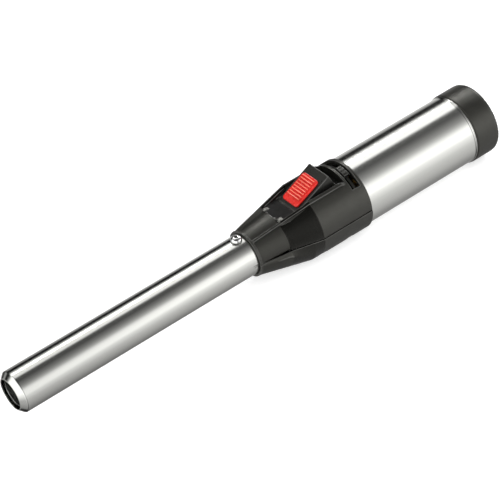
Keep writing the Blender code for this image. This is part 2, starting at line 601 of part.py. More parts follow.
def use_real_meshes():
    """Applies each piece's modifiers, and shades its round faces smooth."""
    bpy.context.view_layer.update()
    graph = bpy.context.evaluated_depsgraph_get()
    finished = {}
    for obj in TORCH.objects:
        if obj.type == "MESH":
            finished[obj] = bpy.data.meshes.new_from_object(obj.evaluated_get(graph), depsgraph=graph)
    for obj, mesh in finished.items():
        obj.modifiers.clear()
        obj.data = mesh
        mesh.name = obj.name
        mesh.shade_smooth()
        mesh.set_sharp_from_angle(angle=math.radians(35))


upper_shell()
lower_shell()
shell_screws()
barrel()
burner()
spark_line()
trigger_lever()
trigger_pad()
igniter()
valve_train()
tank()
handle_and_cap()
use_real_meshes()
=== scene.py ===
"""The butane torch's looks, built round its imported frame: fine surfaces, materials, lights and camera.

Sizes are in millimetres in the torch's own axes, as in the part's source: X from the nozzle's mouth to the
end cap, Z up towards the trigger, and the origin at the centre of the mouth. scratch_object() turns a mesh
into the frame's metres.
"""

import json
import math

import bmesh
import bpy
from mathutils import Matrix, Vector


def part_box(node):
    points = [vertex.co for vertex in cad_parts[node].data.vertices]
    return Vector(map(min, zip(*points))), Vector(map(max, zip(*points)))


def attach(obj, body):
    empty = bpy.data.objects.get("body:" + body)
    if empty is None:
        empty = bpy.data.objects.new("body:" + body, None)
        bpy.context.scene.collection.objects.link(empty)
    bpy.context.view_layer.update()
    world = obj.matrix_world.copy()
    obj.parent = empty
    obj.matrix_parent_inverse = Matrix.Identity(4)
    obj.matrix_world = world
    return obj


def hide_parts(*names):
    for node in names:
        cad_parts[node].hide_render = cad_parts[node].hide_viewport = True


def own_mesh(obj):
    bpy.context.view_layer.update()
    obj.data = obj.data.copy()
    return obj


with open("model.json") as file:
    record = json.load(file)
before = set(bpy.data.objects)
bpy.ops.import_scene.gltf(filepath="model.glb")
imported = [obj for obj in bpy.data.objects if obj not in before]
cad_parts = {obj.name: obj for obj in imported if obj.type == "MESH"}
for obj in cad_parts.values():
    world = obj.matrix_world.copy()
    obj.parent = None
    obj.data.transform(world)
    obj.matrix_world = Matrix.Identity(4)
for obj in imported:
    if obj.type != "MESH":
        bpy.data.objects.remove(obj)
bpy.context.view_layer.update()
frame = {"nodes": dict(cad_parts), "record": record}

MM = 0.001
TUBE_LOW, TUBE_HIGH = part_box("barrel_tube")
ORIGIN = Vector((TUBE_LOW.x, 0, (TUBE_LOW.z + TUBE_HIGH.z) / 2))


def extent(node):
    """A CAD node's lowest and highest corner, in the torch's own millimetres."""
    return [(corner - ORIGIN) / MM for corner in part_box(node)]


# Sizes that the frame gives
BARREL_REAR, BARREL_R = extent("barrel_tube")[1].xz
HANDLE_FRONT, HANDLE_REAR = extent("handle_tube")[0].x, extent("handle_tube")[1].x
CAP_R = extent("end_cap")[1].y
LENGTH = extent("end_cap")[1].x
BODY_FRONT = extent("upper_shell")[0].x

# The rest of the design
GAP = 0.3
WALL = 0.5
HANDLE_R = 16.0
HANDLE_LIP_R = 16.4
CAP_FRONT = HANDLE_REAR + GAP
BODY_REAR = HANDLE_FRONT - GAP
BODY_R = 16.7
ZONE_1, ZONE_2 = 134.5, 149.5    # where the shallow cone turns steep, and where the cylinder starts
SPIGOT_R, SPIGOT_END = 15.0, 183.0
SHELL_WALL = 1.5
PARTING = 0.15                   # half the gap between the two shells


# ---------------------------------------------------------------- materials

def new_material(name, color, roughness, metallic=0.0, **sockets):
    material = bpy.data.materials.new(name)
    material.use_nodes = True
    shader = material.node_tree.nodes["Principled BSDF"]
    shader.inputs["Base Color"].default_value = (*color, 1)
    shader.inputs["Roughness"].default_value = roughness
    shader.inputs["Metallic"].default_value = metallic
    for socket, value in sockets.items():
        shader.inputs[socket.replace("_", " ")].default_value = value
    return material


def noise(material, size, detail=4.0, stretch=(1, 1, 1)):
    """A noise pattern in the frame's axes. size is the grain in mm; stretch lengthens it along an axis."""
    nodes, links = material.node_tree.nodes, material.node_tree.links
    place = nodes.new("ShaderNodeTexCoord")
    mapping = nodes.new("ShaderNodeMapping")
    mapping.inputs["Scale"].default_value = [1 / (size * MM * s) for s in stretch]
    texture = nodes.new("ShaderNodeTexNoise")
    texture.inputs["Scale"].default_value = 1
    texture.inputs["Detail"].default_value = detail
    links.new(place.outputs["Object"], mapping.inputs["Vector"])
    links.new(mapping.outputs["Vector"], texture.inputs["Vector"])
    return texture.outputs["Fac"]


def spread(material, value, low, high):
    """Maps the middle of a noise pattern's range to low...high."""
    node = material.node_tree.nodes.new("ShaderNodeMapRange")
    for socket, number in (("From Min", 0.3), ("From Max", 0.7), ("To Min", low), ("To Max", high)):
        node.inputs[socket].default_value = number
    material.node_tree.links.new(value, node.inputs["Value"])
    return node.outputs["Result"]


def vary_roughness(material, pattern, low, high):
    shader = material.node_tree.nodes["Principled BSDF"]
    material.node_tree.links.new(spread(material, pattern, low, high), shader.inputs["Roughness"])


def vary_color(material, pattern, dark, light):
    nodes, links = material.node_tree.nodes, material.node_tree.links
    mix = nodes.new("ShaderNodeMix")
    mix.data_type = "RGBA"
    mix.inputs["A"].default_value = (*dark, 1)
    mix.inputs["B"].default_value = (*light, 1)
    links.new(spread(material, pattern, 0, 1), mix.inputs["Factor"])
    links.new(mix.outputs["Result"], nodes["Principled BSDF"].inputs["Base Color"])


def add_bump(material, pattern, height, strength=1.0):
    """Surface relief from a pattern; height is in mm."""
    nodes, links = material.node_tree.nodes, material.node_tree.links
    bump = nodes.new("ShaderNodeBump")
    bump.inputs["Strength"].default_value = strength
    bump.inputs["Distance"].default_value = height * MM
    links.new(pattern, bump.inputs["Height"])
    links.new(bump.outputs["Normal"], nodes["Principled BSDF"].inputs["Normal"])


def metal(name, color, roughness, grain, stretch=(1, 1, 1), relief=0.004):
    """A metal with fine working marks, a little uneven in tone."""
    material = new_material(name, color, roughness, 1.0)
    marks = noise(material, grain, 3.0, stretch)
    vary_roughness(material, marks, roughness * 0.8, roughness * 1.25)
    vary_color(material, noise(material, 9.0, 3.0, stretch), [c * 0.93 for c in color], color)
    add_bump(material, marks, relief)
    return material


GRAIN_STRENGTH = 0.6             # how strongly a moulded grain shows


def plastic(name, color, roughness, grain, relief, mottle=0.8, **sockets):
    """A moulded plastic with a fine sparked grain."""
    material = new_material(name, color, roughness, **sockets)
    vary_roughness(material, noise(material, 2.5), roughness * 0.9, roughness * 1.12)
    vary_color(material, noise(material, 6.0), [c * mottle for c in color], color)
    add_bump(material, noise(material, grain, 2.0), relief, GRAIN_STRENGTH)
    return material


WARM_GLOSS = (1.0, 0.985, 0.90, 1.0)             # the tint of the black plastics' highlights


def body_plastic():
    """The shells' plastic: textured, but smoother on the steep cone between the two zone lines, and dimmed
    there by painted shade.
    """
    color, matte, polished = (0.0118, 0.0118, 0.0100), 0.36, 0.22
    cone_shade_share, cone_grain_strength = 0.2, 0.1
    material = plastic("black_plastic", color, matte, 0.16, 0.006, IOR=1.62, Specular_Tint=WARM_GLOSS)
    nodes, links = material.node_tree.nodes, material.node_tree.links
    split = nodes.new("ShaderNodeSeparateXYZ")
    links.new(nodes.new("ShaderNodeTexCoord").outputs["Object"], split.inputs["Vector"])
    inside = []
    for x, operation in ((ZONE_1, "GREATER_THAN"), (ZONE_2, "LESS_THAN")):
        test = nodes.new("ShaderNodeMath")
        test.operation = operation
        test.inputs[1].default_value = ORIGIN.x + x * MM
        links.new(split.outputs["X"], test.inputs[0])
        inside.append(test.outputs["Value"])
    both = nodes.new("ShaderNodeMath")
    both.operation = "MULTIPLY"
    links.new(inside[0], both.inputs[0])
    links.new(inside[1], both.inputs[1])
    shader = nodes["Principled BSDF"]
    textured = shader.inputs["Roughness"].links[0].from_socket
    mix = nodes.new("ShaderNodeMix")
    links.new(both.outputs["Value"], mix.inputs["Factor"])
    links.new(textured, mix.inputs["A"])
    mix.inputs["B"].default_value = polished
    links.new(mix.outputs["Result"], shader.inputs["Roughness"])
    # Painted shade: on the steep cone the base colour drops to a share of the plastic's own.
    cone_shade_mix = nodes.new("ShaderNodeMix")
    cone_shade_mix.data_type = "RGBA"
    links.new(both.outputs["Value"], cone_shade_mix.inputs["Factor"])
    links.new(shader.inputs["Base Color"].links[0].from_socket, cone_shade_mix.inputs["A"])
    cone_shade_mix.inputs["B"].default_value = (*(c * cone_shade_share for c in color), 1)
    links.new(cone_shade_mix.outputs["Result"], shader.inputs["Base Color"])
    calm = nodes.new("ShaderNodeMapRange")
    calm.inputs["To Min"].default_value = GRAIN_STRENGTH
    calm.inputs["To Max"].default_value = cone_grain_strength
    links.new(both.outputs["Value"], calm.inputs["Value"])
    links.new(calm.outputs["Result"], shader.inputs["Normal"].links[0].from_node.inputs["Strength"])
    return material


ALONG = (60, 1, 1)               # working marks that run along the torch
MATERIALS = {
    "black_plastic": body_plastic(),
    "lever_plastic": plastic("lever_plastic", (0.0095, 0.0096, 0.0088), 0.30, 0.12, 0.005,
                             Specular_Tint=WARM_GLOSS),
    "red_plastic": plastic("red_plastic", (0.62, 0.016, 0.009), 0.26, 0.2, 0.005, 0.85, IOR=1.6),
    "brushed_steel": metal("brushed_steel", (0.72, 0.722, 0.69), 0.17, 0.12, ALONG, 0.0015),
    "plated_screw": metal("plated_screw", (0.80, 0.80, 0.79), 0.16, 0.5),
    "die_cast_zinc": metal("die_cast_zinc", (0.48, 0.48, 0.50), 0.45, 0.6, relief=0.01),
    "brass": metal("brass", (0.80, 0.58, 0.28), 0.28, 0.25),
    "copper": metal("copper", (0.80, 0.42, 0.28), 0.32, 0.3, ALONG),
    "ceramic": plastic("ceramic", (0.85, 0.83, 0.78), 0.35, 0.3, 0.004, 0.95),
    "wire_sleeve": plastic("wire_sleeve", (0.6, 0.06, 0.04), 0.45, 0.3, 0.004),
    "seal_rubber": plastic("seal_rubber", (0.02, 0.02, 0.02), 0.75, 0.2, 0.006),
    "tank_plastic": plastic("tank_plastic", (0.75, 0.76, 0.72), 0.35, 0.4, 0.004, 0.95),
}
# The bay's deck: a rough, low-gloss black whose darker colour is painted shade for the recess it lies in.
SHADED_DECK = plastic("bay_deck_painted_shade", (0.0075, 0.0075, 0.0070), 0.75, 0.3, 0.012, Specular_IOR_Level=0.25)
# Painted highlight: a lighter black on the rounded edges of the shells, lever and adjuster.
BLACK_EDGE_HIGHLIGHT = plastic("black_edge_painted_highlight", (0.082, 0.081, 0.075), 0.26, 0.3, 0.004, 0.55)
# Painted highlight: a lighter red on the trigger pad's rib crests.
RED_CREST_HIGHLIGHT = plastic("red_crest_painted_highlight", (0.88, 0.17, 0.10), 0.22, 0.3, 0.004, 0.75)
# The screws' cross recesses: a near-black metal that is painted shade in the hollow.
RECESS_PAINTED_SHADE = metal("screw_recess_painted_shade", (0.03, 0.03, 0.03), 0.55, 0.5)
SLOTS = {entry["node"]: entry["material_slot"] for entry in frame["record"]["subparts"]}
BODIES = {node: body for body, nodes in frame["record"]["behaviour"]["bodies"].items() for node in nodes}


# ---------------------------------------------------------------- mesh builders

def along(stations, x):
    """The value at x on a line through the (x, value) stations."""
    for (x0, v0), (x1, v1) in zip(stations, stations[1:]):
        if x <= x1:
            return v0 + (v1 - v0) * max(0.0, x - x0) / (x1 - x0)
    return stations[-1][1]


def polar(radius, degrees):
    """(y, z) at an angle from the top, positive towards +Y."""
    angle = math.radians(degrees)
    return radius * math.sin(angle), radius * math.cos(angle)


def skin(rows, wrap_row=False, wrap_rows=False, skipped=()):
    """Quads between rows of points. skipped holds the (row, place) of each quad left out."""
    bm = bmesh.new()
    grid = [[bm.verts.new(point) for point in row] for row in rows]
    count = len(grid[0])
    for i in range(len(grid) if wrap_rows else len(grid) - 1):
        for k in range(count if wrap_row else count - 1):
            if (i, k) not in skipped:
                below, j = grid[(i + 1) % len(grid)], (k + 1) % count
                bm.faces.new((grid[i][k], grid[i][j], below[j], below[k]))
    bmesh.ops.remove_doubles(bm, verts=bm.verts, dist=1e-4)
    return bm


def rounded(outline, radius, closed=True, steps=4):
    """The outline with each corner turned into an arc. A point's own third value overrides the radius."""
    result = []
    for k, entry in enumerate(outline):
        corner = Vector(entry[:2])
        if not closed and k in (0, len(outline) - 1):
            result.append(corner)
            continue
        reach = entry[2] if len(entry) > 2 else radius
        ends = []
        for neighbour in (outline[k - 1], outline[(k + 1) % len(outline)]):
            side = Vector(neighbour[:2]) - corner
            ends.append(corner + side.normalized() * min(reach, 0.45 * side.length))
        for step in range(steps + 1):
            t = step / steps
            result.append(ends[0] * (1 - t) ** 2 + corner * 2 * t * (1 - t) + ends[1] * t * t)
    return result


def turned(profile, steps=96, closed=True):
    """A body of revolution about the torch's axis, from (x, r) points."""
    turns = [2 * math.pi * k / steps for k in range(steps)]
    rows = [[(x, r * math.sin(a), r * math.cos(a)) for x, r in profile] for a in turns]
    bm = skin(rows, wrap_row=closed, wrap_rows=True)
    bmesh.ops.recalc_face_normals(bm, faces=bm.faces)
    return bm


# The second slot holds painted shade (the bay's deck, the screws' recesses); the third holds painted
# highlights.
BASE, SPECIAL, HIGHLIGHT_SLOT = range(3)   # a piece's material slots


def scratch_object(bm, in_metres=False):
    """A bare object in the frame's metres, from a mesh in the torch's millimetres, with its slots empty."""
    if not in_metres:
        bmesh.ops.transform(bm, verts=bm.verts, matrix=Matrix.Translation(ORIGIN) @ Matrix.Scale(MM, 4))
    mesh = bpy.data.meshes.new("scratch")
    bm.to_mesh(mesh)
    bm.free()
    for _ in (BASE, SPECIAL, HIGHLIGHT_SLOT):
        mesh.materials.append(None)
    obj = bpy.data.objects.new("scratch", mesh)
    bpy.context.scene.collection.objects.link(obj)
    return obj


def settle(obj):
    """Applies the object's modifiers."""
    bpy.context.view_layer.update()
    graph = bpy.context.evaluated_depsgraph_get()
    mesh = bpy.data.meshes.new_from_object(obj.evaluated_get(graph), depsgraph=graph)
    obj.modifiers.clear()
    obj.data = mesh


def combine(obj, operation, other):
    """A Boolean of two scratch objects; the second is used up."""
    modifier = obj.modifiers.new("combine", "BOOLEAN")
    modifier.operation = operation
    modifier.object = other
    settle(obj)
    bpy.data.objects.remove(other, do_unlink=True)


def round_edges(obj, width, segments=2, sharper_than=35, slot=BASE):
    """Rounds the convex edges and gives them a slot, which on the shells, lever and adjuster holds a painted
    highlight; the hollow ones stay as they are.
    """
    bm = bmesh.new()
    bm.from_mesh(obj.data)
    weights = bm.edges.layers.float.new("bevel_weight_edge")
    for edge in bm.edges:
        if len(edge.link_faces) == 2 and edge.calc_face_angle_signed() > math.radians(sharper_than):
            edge[weights] = 1.0
    bm.to_mesh(obj.data)
    bm.free()
    bevel = obj.modifiers.new("round", "BEVEL")
    bevel.limit_method = "WEIGHT"
    bevel.width = width * MM
    bevel.segments = segments
    bevel.use_clamp_overlap = False
    bevel.material = slot
    settle(obj)


def finished(obj, node, sharp=40, special=None, highlight_paint=None):
    """Makes a scratch object the visible piece for a CAD node."""
    obj.name = f"{node}_fine"
    obj.data.name = obj.name
    plain = MATERIALS[SLOTS[node]]
    for slot, material in ((BASE, plain), (SPECIAL, special or plain), (HIGHLIGHT_SLOT, highlight_paint or plain)):
        obj.data.materials[slot] = material
    obj.data.shade_smooth()
    obj.data.set_sharp_from_angle(angle=math.radians(sharp))
    normals = obj.modifiers.new("normals", "WEIGHTED_NORMAL")
    normals.keep_sharp = True
    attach(obj, BODIES[node])
    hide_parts(node)
    return obj


def turned_piece(node, profile, radius, steps=96, closed=True):
    return finished(scratch_object(turned(rounded(profile, radius, closed), steps, closed)), node)


def rounded_copy(node, width, segments=3, slot=BASE):
    """The CAD node's own shape with its outer edges rounded."""
    bm = bmesh.new()
    bm.from_mesh(frame["nodes"][node].data)
    bmesh.ops.remove_doubles(bm, verts=bm.verts, dist=1e-7)
    bmesh.ops.dissolve_limit(bm, angle_limit=math.radians(1), verts=bm.verts, edges=bm.edges)
    obj = scratch_object(bm, in_metres=True)
    round_edges(obj, width, segments, slot=slot)
    return obj


# ---------------------------------------------------------------- body shells

LOFT_FRONT = BODY_FRONT + 1.3                    # behind the lip
PANEL = [(LOFT_FRONT, 10.5), (ZONE_1, 12.3), (ZONE_2, BODY_R), (BODY_REAR, BODY_R)]
RIDGE = [(LOFT_FRONT, 11.3), (148.9, 17.7), (166.5, 17.7), (168.5, BODY_R), (BODY_REAR, BODY_R)]
KEEL = [(LOFT_FRONT, 10.9), (145.0, 16.7), (152.0, 16.9), (BODY_REAR, 16.9)]
KEEL_EDGE = [(133.0, 97.0), (146.0, 120.0)]      # angle from the top where the keel's flank ends
KEEL_STEP = 0.25                                 # how far the lower shell stands proud at the parting line
# How far the upper shell's edge is set back there, and the share of that just above it, past an angle
UNDERCUT = [(LOFT_FRONT, 0.15), (ZONE_1 - 0.4, 0.8), (ZONE_1, 0.15), (BODY_REAR, 0.15)]
UNDERCUT_START, UNDERCUT_SHARE = 80, 0.35
LIP_R, LIP_BORE = 10.9, BARREL_R + GAP
RIDGE_ANGLE, RIDGE_HALF, RIDGE_FOOT = 30.0, 0.55, 0.9
BELLY_HALF_WIDTH = 6.0
BAY_FRONT, BAY_REAR, BAY_FLOOR = ZONE_1 + 0.4, 169.0, 12.0
BAY_HALF_WIDTHS = [(BAY_FRONT, 6.6), (146.0, 7.9), (BAY_REAR, 7.9)]
SLOT = (143.6, 167.3)                            # the lever's slot in the bay's floor
SLOT_LINE = [(LOFT_FRONT, 3.2), (BAY_FRONT, 4.6), (SLOT[0], 6.8), (BODY_REAR, 6.8)]
WINDOW, WINDOW_ANGLE = (170.2, 174.5), 45
ARC_ANGLES = [38, WINDOW_ANGLE, 50, 55, 60, 65, 70, 75, 80, 85]
SLOT_PLACES, FOOT_PLACE = 4, 5                   # how far round the section the slot and the ridge's foot are
WINDOW_PLACE = FOOT_PLACE + 4 + ARC_ANGLES.index(WINDOW_ANGLE)


def upper_half(x, in_bay=False):
    """(y, z) points of half the upper shell's outside at x, from the top round to the parting line."""
    panel, ridge = along(PANEL, x), along(RIDGE, x)
    crown, foot = math.degrees(RIDGE_HALF / ridge), math.degrees(RIDGE_FOOT / panel)
    flat = [along(SLOT_LINE, x) * k / SLOT_PLACES for k in range(SLOT_PLACES + 1)]
    points = [(y, math.sqrt(panel**2 - y**2)) for y in flat]
    if in_bay:
        side = along(BAY_HALF_WIDTHS, x)
        points = [(y, min(z, BAY_FLOOR)) for y, z in points]
        points += [(side, BAY_FLOOR), (side, math.sqrt(ridge**2 - side**2))]
    else:
        points += [polar(panel, RIDGE_ANGLE - foot), polar(ridge, RIDGE_ANGLE - crown)]
    points += [polar(ridge, RIDGE_ANGLE + crown), polar(panel, RIDGE_ANGLE + foot)]
    undercut = along(UNDERCUT, x)
    points += [polar(panel - (undercut * UNDERCUT_SHARE if angle > UNDERCUT_START else 0), angle)
               for angle in ARC_ANGLES]
    return [*points, (panel - undercut, PARTING)]


def lower_half(x):
    """(y, z) points of half the lower shell's outside at x, from the belly's middle to the parting line."""
    panel, keel, edge = along(PANEL, x) + KEEL_STEP, along(KEEL, x), along(KEEL_EDGE, x)
    start = 91.0
    points = [(panel, -PARTING)]
    points += [polar(panel + (keel - panel) * t, start + (edge - start) * t) for t in (0.25, 0.5, 0.75, 1)]
    points += [polar(keel, edge + (150 - edge) * k / 8) for k in range(1, 9)]
    flatness = along([(ZONE_1, 0.0), (146.0, 1.0)], x)
    for angle, share in ((160, 1.0), (165, 0.75), (170, 0.5), (175, 0.25), (180, 0.0)):
        round_y, round_z = polar(keel, angle)
        points.append((round_y + (share * BELLY_HALF_WIDTH - round_y) * flatness,
                       round_z + (-CAP_R - round_z) * flatness))
    return points[::-1]


def at_radius(points, radius):
    """The same directions from the axis, all at one radius."""
    return [tuple(Vector(point).normalized() * radius) for point in points]


def whole_row(x, half):
    return [(x, -y, z) for y, z in reversed(half[1:])] + [(x, y, z) for y, z in half]


def shell_rows(sections):
    """Rows of points from the front lip back to the neck that the handle slides over."""
    first, last = sections[0][1], sections[-1][1]
    lip = at_radius(first, LIP_R)
    ends = [(BODY_FRONT, at_radius(first, LIP_BORE)), (BODY_FRONT, lip), (BODY_FRONT + 1.0, lip)]
    neck = at_radius(last, SPIGOT_R)
    return [whole_row(x, half) for x, half in [*ends, *sections, (BODY_REAR, neck), (SPIGOT_END, neck)]]


def thick_shell(bm):
    """Gives an open outer surface its wall, inwards."""
    obj = scratch_object(bm)
    solid = obj.modifiers.new("wall", "SOLIDIFY")
    solid.thickness = SHELL_WALL * MM
    solid.offset = -1
    settle(obj)
    return obj


def creased(x, reach=0.3):
    """Stations close round a crease, so that smooth shading keeps it crisp."""
    return [x - reach, x, x + reach]


def upper_shell():
    front = [LOFT_FRONT, 122.5, 127.8, ZONE_1 - 0.4, ZONE_1, BAY_FRONT]
    deck = [BAY_FRONT + 0.5 * k for k in range(1, 17)]
    bay = [BAY_FRONT, *deck, SLOT[0], 146.0, 148.9, *creased(ZONE_2), 152.0, 156.0, 160.0, 164.0, 166.5,
           SLOT[1], 168.5, BAY_REAR]
    sections = [(x, upper_half(x)) for x in front]
    sections += [(x, upper_half(x, in_bay=True)) for x in bay]
    sections += [(x, upper_half(x)) for x in (BAY_REAR, *WINDOW, BODY_REAR)]
    rows = shell_rows(sections)
    middle = len(rows[0]) // 2
    skipped = set()
    for (start, end), places in ((SLOT, SLOT_PLACES), (WINDOW, WINDOW_PLACE)):
        inside = [i for i, row in enumerate(rows[:-1]) if start <= row[0][0] and rows[i + 1][0][0] <= end]
        skipped |= {(i, k) for i in inside for k in range(middle - places, middle + places)}
    bm = skin(rows, skipped=skipped)
    bmesh.ops.recalc_face_normals(bm, faces=bm.faces)
    point_outwards(bm)
    # The bay's floor takes the second slot, the deck's painted shade.
    for face in bm.faces:
        if all(abs(vert.co.z - BAY_FLOOR) < 0.01 for vert in face.verts):
            face.material_index = SPECIAL
    obj = thick_shell(bm)
    # The shell's rounded edges take the lighter colour of a painted highlight.
    round_edges(obj, 0.24, slot=HIGHLIGHT_SLOT)
    finished(obj, "upper_shell", special=SHADED_DECK, highlight_paint=BLACK_EDGE_HIGHLIGHT)


def point_outwards(bm):
    """Turns an open surface's normals away from the torch's axis."""
    outward = sum(face.normal.dot(Vector((0, *face.calc_center_median().yz))) * face.calc_area()
                  for face in bm.faces)
    if outward < 0:
        bmesh.ops.reverse_faces(bm, faces=bm.faces)


SHELL_SCREWS = [(150.5, -11.3), (150.5, 11.3), (165.3, -11.3), (165.3, 11.3)]
COUNTERBORE_R, COUNTERBORE_TOP, SCREW_HOLE_R, BOSS_R = 2.7, -9.0, 1.4, 3.4


def upright_turned(profile, x, y, steps=40):
    """A body of revolution about a vertical line at (x, y), from (z, r) points."""
    bm = turned(profile, steps, closed=False)
    turn = Matrix.Rotation(math.radians(-90), 4, "Y")
    bmesh.ops.transform(bm, verts=bm.verts, matrix=Matrix.Translation((x, y, 0)) @ turn)
    return bm


def joined(meshes):
    """Several separate meshes as one."""
    whole = bmesh.new()
    for bm in meshes:
        mesh = bpy.data.meshes.new("part")
        bm.to_mesh(mesh)
        bm.free()
        whole.from_mesh(mesh)
        bpy.data.meshes.remove(mesh)
    return whole


def lower_shell():
    stations = [LOFT_FRONT, 122.5, 127.8, 131.0, 133.0, *creased(ZONE_1), 137.5, 141.5, *creased(145.0),
                146.0, *creased(ZONE_2), 152.0, 160.0, 168.0, BODY_REAR]
    sections = [(x, lower_half(x)) for x in stations]
    bm = skin(shell_rows(sections))
    bmesh.ops.recalc_face_normals(bm, faces=bm.faces)
    point_outwards(bm)
    obj = thick_shell(bm)
    # The shell's rounded edges take the lighter colour of a painted highlight.
    round_edges(obj, 0.2, slot=HIGHLIGHT_SLOT)
    inset = 0.96                 # the bosses stop inside the wall
    solid = skin([[(x, y * inset, z * inset) for x, y, z in whole_row(x, half)] for x, half in sections],
                 wrap_row=True)
    bmesh.ops.holes_fill(solid, edges=[e for e in solid.edges if e.is_boundary])
    bmesh.ops.recalc_face_normals(solid, faces=solid.faces)
    bosses = scratch_object(joined(
        upright_turned([(-20, 0), (-20, BOSS_R), (-GAP, BOSS_R), (-GAP, 0)], x, y) for x, y in SHELL_SCREWS))
    combine(bosses, "INTERSECT", scratch_object(solid))
    combine(obj, "UNION", bosses)
    bores = [(-20, 0), (-20, COUNTERBORE_R), (COUNTERBORE_TOP, COUNTERBORE_R),
             (COUNTERBORE_TOP, SCREW_HOLE_R), (1, SCREW_HOLE_R), (1, 0)]
    combine(obj, "DIFFERENCE", scratch_object(joined(upright_turned(bores, x, y) for x, y in SHELL_SCREWS)))
    finished(obj, "lower_shell", highlight_paint=BLACK_EDGE_HIGHLIGHT)


# ---------------------------------------------------------------- screws

def cross_head(head, shank_r, shank_length, recess_half, turn):
    """A pan-head screw standing on Z = 0, head up, with a cross recess; head lists its (z, r) points."""
    profile = rounded([(-shank_length, 0), (-shank_length, shank_r), (0, shank_r), *head], 0.12, closed=False)
    screw = scratch_object(upright_turned(profile, 0, 0, 48), in_metres=True)
    top = head[-1][0]
    hub = upright_turned([(top - 1.3, 0), (top - 1.3, 0.25 * recess_half), (top + 0.3, 0.62 * recess_half),
                          (top + 0.3, 0)], 0, 0, 8)
    # The recess's faces take the second slot, which holds painted shade.
    for face in hub.faces:
        face.material_index = SPECIAL
    combine(screw, "DIFFERENCE", scratch_object(hub, in_metres=True))
    for angle in (turn, turn + 90):
        arm = bmesh.new()
        bmesh.ops.create_cube(arm, size=1)
        shape = Matrix.Diagonal((2 * recess_half, 0.42 * recess_half + 0.15, 1.9, 1))
        bmesh.ops.transform(arm, verts=arm.verts, matrix=Matrix.Rotation(math.radians(angle), 4, "Z") @ shape)
        for vert in arm.verts:
            if vert.co.z < 0:
                vert.co.xy *= 0.55
        bmesh.ops.translate(arm, verts=arm.verts, vec=(0, 0, top))
        # The recess's faces take the second slot, which holds painted shade.
        for face in arm.faces:
            face.material_index = SPECIAL
        combine(screw, "DIFFERENCE", scratch_object(arm, in_metres=True))
    return screw


def placed_screw(node, head, shank_r, shank_length, recess_half, x, y, z, up, turn):
    screw = cross_head(head, shank_r, shank_length, recess_half, turn)
    facing = Matrix.Identity(4) if up else Matrix.Rotation(math.pi, 4, "X")
    into_frame = Matrix.Translation(ORIGIN) @ Matrix.Scale(MM, 4)
    screw.data.transform(into_frame @ Matrix.Translation((x, y, z)) @ facing)
    round_edges(screw, 0.06)
    finished(screw, node, special=RECESS_PAINTED_SHADE)


def screws():
    dome = [(0, 2.5), (0.6, 2.5, 0.3), (1.4, 2.1, 0.5), (1.8, 1.2, 0.6), (1.9, 0)]
    for node, side in (("barrel_screw_top", 1), ("barrel_screw_bottom", -1)):
        placed_screw(node, dome, shank_r=1.2, shank_length=3.6, recess_half=1.4, x=116.3, y=0,
                     z=side * (BARREL_R + GAP), up=side > 0, turn=20)
    pan = [(0, 2.3), (1.0, 2.25, 0.3), (1.35, 1.5, 0.5), (1.5, 0)]
    for k, (x, y) in enumerate(SHELL_SCREWS):
        placed_screw(f"shell_screw_{k + 1}", pan, shank_r=1.1, shank_length=16.3, recess_half=1.25, x=x, y=y,
                     z=COUNTERBORE_TOP - GAP, up=False, turn=37 * k)


# ---------------------------------------------------------------- barrel, handle and cap

def tubes():
    nose = 2.3
    turned_piece("barrel_tube", [(0, 7.25, 0.1), (nose, BARREL_R, 0.35), (BARREL_REAR, BARREL_R, 0.1),
                                 (BARREL_REAR, BARREL_R - WALL, 0.1), (nose + 0.2, BARREL_R - WALL, 0.3),
                                 (0.4, 6.8, 0.1), (0, 6.8, 0.15)], 0.1, 128)
    burner_r = 6.2
    rear = extent("burner_tube")[1].x
    burner = scratch_object(turned(rounded([(1.4, burner_r), (rear, burner_r), (rear, burner_r - 0.4),
                                            (1.4, burner_r - 0.4)], 0.12, steps=3), 96))
    hole = upright_turned([(4.0, 0), (4.0, 1.2), (9.0, 1.2), (9.0, 0)], 7.5, 0, 32)
    spark_angle = -150.0         # towards +Y, from the top
    bmesh.ops.transform(hole, verts=hole.verts, matrix=Matrix.Rotation(math.radians(spark_angle), 4, "X"))
    combine(burner, "DIFFERENCE", scratch_object(hole))
    finished(burner, "burner_tube")
    lip = HANDLE_REAR - 0.9
    turned_piece("handle_tube", [(HANDLE_FRONT, HANDLE_R, 0.12), (lip, HANDLE_R, 0.4),
                                 (HANDLE_REAR - 0.35, HANDLE_LIP_R, 0.25), (HANDLE_REAR, HANDLE_LIP_R, 0.2),
                                 (HANDLE_REAR, HANDLE_R - WALL, 0.1), (HANDLE_FRONT, HANDLE_R - WALL, 0.1)],
                 0.1, 144)


def end_cap():
    plug_r, port_r = 15.0, 5.0
    turned_piece("end_cap", [(229.5, plug_r, 0.3), (CAP_FRONT, plug_r, 0.05), (CAP_FRONT, CAP_R, 0.7),
                             (LENGTH, CAP_R, 2.6), (LENGTH, port_r + 0.5, 0.6), (LENGTH - 0.6, port_r, 0.3),
                             (247.0, port_r), (247.0, 12.5, 0.5), (243.0, 13.6), (229.5, 13.6, 0.2)],
                 0.1, 144)
    turned_piece("refill_valve_body", [(222.0, 2.9), (228.8, 2.9), (228.8, 5.8), (230.8, 5.8), (230.8, 2.5),
                                       (243.6, 2.5), (244.5, 2.1), (244.5, 1.0), (242.0, 1.0), (242.0, 1.8),
                                       (224.0, 1.8), (224.0, 0.5), (222.0, 0.5)], 0.15, 48)
    turned_piece("refill_stem", [(236.0, 0), (236.0, 1.5), (241.5, 1.5), (241.5, 0.6), (245.8, 0.6, 0.25),
                                 (245.8, 0)], 0.12, 32, closed=False)


# ---------------------------------------------------------------- trigger

LEVER_FRONT, LEVER_TIP = Vector((144.0, 11.6)), Vector((162.4, 20.8))
PAD_FRONT, PAD_LENGTH, PAD_WIDTH = 1.6, 14.6, 10.0
RIBS = 8


